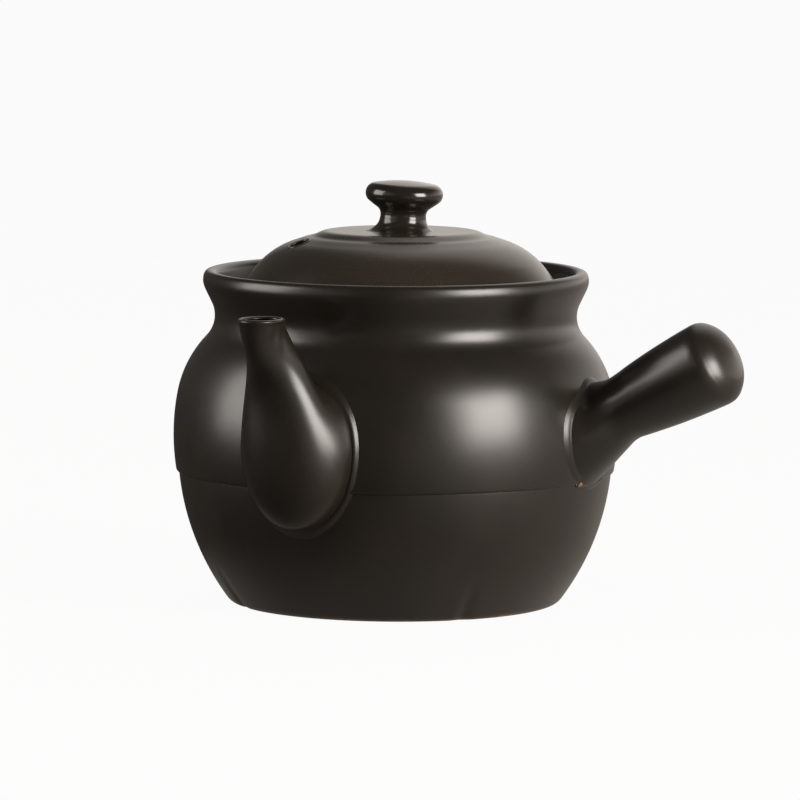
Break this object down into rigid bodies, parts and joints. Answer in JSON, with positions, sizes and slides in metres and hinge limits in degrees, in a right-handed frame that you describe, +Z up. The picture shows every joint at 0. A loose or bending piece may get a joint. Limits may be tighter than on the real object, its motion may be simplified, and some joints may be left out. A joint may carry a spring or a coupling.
{
  "type": "herbal medicine pot",
  "caption": "Dark glazed stoneware pot with a side handle, a front pouring spout and a loose domed lid with a knob, for simmering herbs over a flame.",
  "frame": {"origin": "centre of the flat face that the pot stands on", "axes": "+Z up, +X along the handle seen from above, -Y along the spout"},
  "size_m": [0.2678, 0.2426, 0.1903],
  "materials": {
    "pot_glaze": "satin black-brown glaze with fine speckle",
    "lid_glaze": "satin black-brown glaze, a shade lighter and drier on the flat top"
  },
  "bodies": {
    "pot": {"lower_bowl": "pot_glaze", "upper_shell": "pot_glaze", "spout": "pot_glaze", "spout_luting": "pot_glaze", "handle": "pot_glaze", "handle_luting": "pot_glaze"},
    "lid": {"lid_dome": "lid_glaze", "lid_flange": "lid_glaze", "lid_knob": "lid_glaze", "knob_luting": "lid_glaze"}
  },
  "joints": [
    {"name": "lid_lift", "type": "slide", "parent": "pot", "child": "lid", "axis": [0, 0, 1], "range_m": [0, 0.12]}
  ]
}
